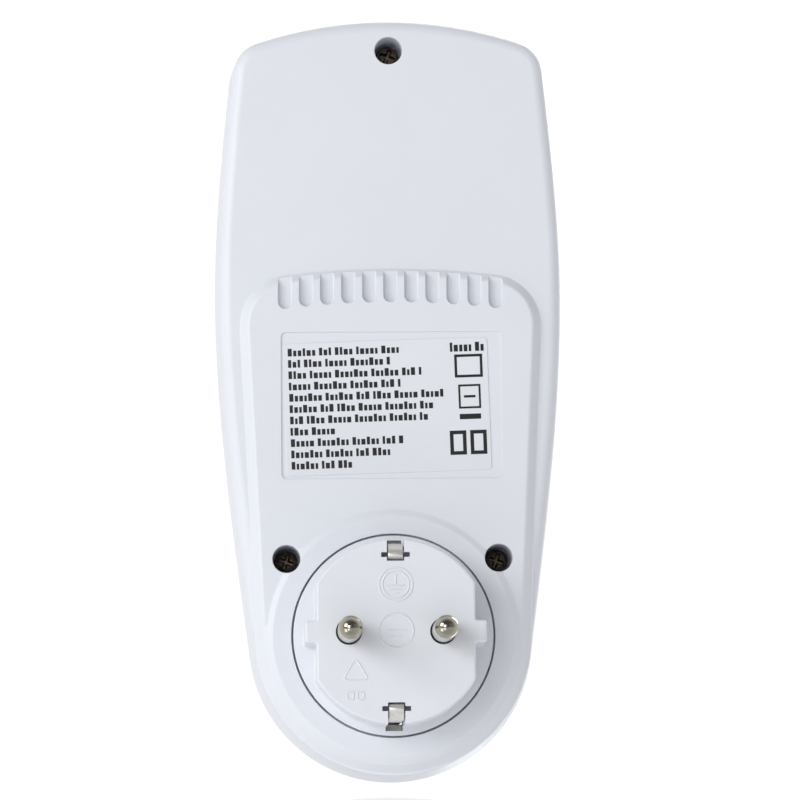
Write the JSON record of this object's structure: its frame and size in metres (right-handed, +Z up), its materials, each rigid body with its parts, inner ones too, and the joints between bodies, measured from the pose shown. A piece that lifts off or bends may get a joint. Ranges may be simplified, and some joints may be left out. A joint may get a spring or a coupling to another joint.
{
  "type": "plug-in power meter",
  "caption": "Wall plug-in mains energy meter: white two-shell case with an earthed two-pin plug on the back, a matching shuttered socket, a display and keys on the front.",
  "frame": {"origin": "centre of the plug's end face, midway between its two pins", "axes": "+Y along the pins into the wall outlet, +Z up along the case's length, +X to the left as seen from the plug side"},
  "size_m": [0.0726, 0.078, 0.1586],
  "materials": {
    "white_case": "satin",
    "plug_plastic": "satin",
    "carrier_plastic": "moulded",
    "frame_plastic": "moulded",
    "pin_nickel": "nickel plated, polished",
    "earth_nickel": "nickel plated strip",
    "brass": "rolled strip",
    "dark_screw": "dark oxide",
    "steel_screw": "zinc plated",
    "spring_steel": "bright drawn",
    "grey_shutter": "moulded",
    "grey_key": "fine satin",
    "dark_plastic": "moulded",
    "label_film": "glossy printed film",
    "window": "clear acrylic",
    "lcd": "reflective segment display",
    "rubber": "striped conductive rubber",
    "board": "green solder resist",
    "capacitor_yellow": "moulded box",
    "capacitor_blue": "shrink sleeve",
    "ceramic": "glazed ceramic tube",
    "manganin": "bare alloy strip"
  },
  "bodies": {
    "meter": {"rear_cover": "white_case", "front_cover": "white_case", "plug_base": "plug_plastic", "socket_well": "plug_plastic", "contact_carrier": "carrier_plastic", "lcd_frame": "frame_plastic", "live_pin": "pin_nickel", "neutral_pin": "pin_nickel", "upper_earth_strip": "earth_nickel", "lower_earth_strip": "earth_nickel", "earth_link": "earth_nickel", "live_strap": "brass", "neutral_strap": "brass", "live_contact": "brass", "neutral_contact": "brass", "case_screw_top": "dark_screw", "case_screw_left": "dark_screw", "case_screw_right": "dark_screw", "carrier_screw_upper": "steel_screw", "carrier_screw_lower": "steel_screw", "display_screw_1": "steel_screw", "display_screw_2": "steel_screw", "display_screw_3": "steel_screw", "display_screw_4": "steel_screw", "mains_screw_1": "steel_screw", "mains_screw_2": "steel_screw", "mains_screw_3": "steel_screw", "mains_screw_4": "steel_screw", "shutter_spring": "spring_steel", "crystal": "spring_steel", "board_connector": "dark_plastic", "metering_chip": "dark_plastic", "display_controller": "dark_plastic", "function_switch": "dark_plastic", "up_switch": "dark_plastic", "down_switch": "dark_plastic", "cost_switch": "dark_plastic", "reset_switch": "dark_plastic", "rating_label": "label_film", "lcd_window": "window", "lcd_panel": "lcd", "contact_rubber": "rubber", "display_board": "board", "mains_board": "board", "film_capacitor": "capacitor_yellow", "smoothing_capacitor": "capacitor_blue", "backup_battery": "capacitor_blue", "fuse": "ceramic", "shunt_resistor": "manganin"},
    "function_key": {"function_key": "grey_key", "function_plunger": "dark_plastic"},
    "up_key": {"up_key": "grey_key", "up_plunger": "dark_plastic"},
    "down_key": {"down_key": "grey_key", "down_plunger": "dark_plastic"},
    "cost_key": {"cost_key": "grey_key", "cost_plunger": "dark_plastic"},
    "reset_button": {"reset_button": "dark_plastic", "reset_plunger": "dark_plastic"},
    "safety_shutter": {"safety_shutter": "grey_shutter"}
  },
  "joints": [
    {"name": "function_press", "type": "slide", "parent": "meter", "child": "function_key", "axis": [0, 1, 0], "range_m": [0, 0.0006], "stiffness_N_per_m": 2500, "springref_m": -0.0004},
    {"name": "up_press", "type": "slide", "parent": "meter", "child": "up_key", "axis": [0, 1, 0], "range_m": [0, 0.0006], "stiffness_N_per_m": 2500, "springref_m": -0.0004},
    {"name": "down_press", "type": "slide", "parent": "meter", "child": "down_key", "axis": [0, 1, 0], "range_m": [0, 0.0006], "stiffness_N_per_m": 2500, "springref_m": -0.0004},
    {"name": "cost_press", "type": "slide", "parent": "meter", "child": "cost_key", "axis": [0, 1, 0], "range_m": [0, 0.0006], "stiffness_N_per_m": 2500, "springref_m": -0.0004},
    {"name": "reset_press", "type": "slide", "parent": "meter", "child": "reset_button", "axis": [0, 1, 0], "range_m": [0, 0.0006], "stiffness_N_per_m": 2500, "springref_m": -0.0004},
    {"name": "shutter_turn", "type": "hinge", "parent": "meter", "child": "safety_shutter", "pos_m": [0, -0.0369, 0], "axis": [0, 1, 0], "range_deg": [0, 42], "stiffness_Nm_per_rad": 0.02, "springref_deg": -22.92}
  ]
}
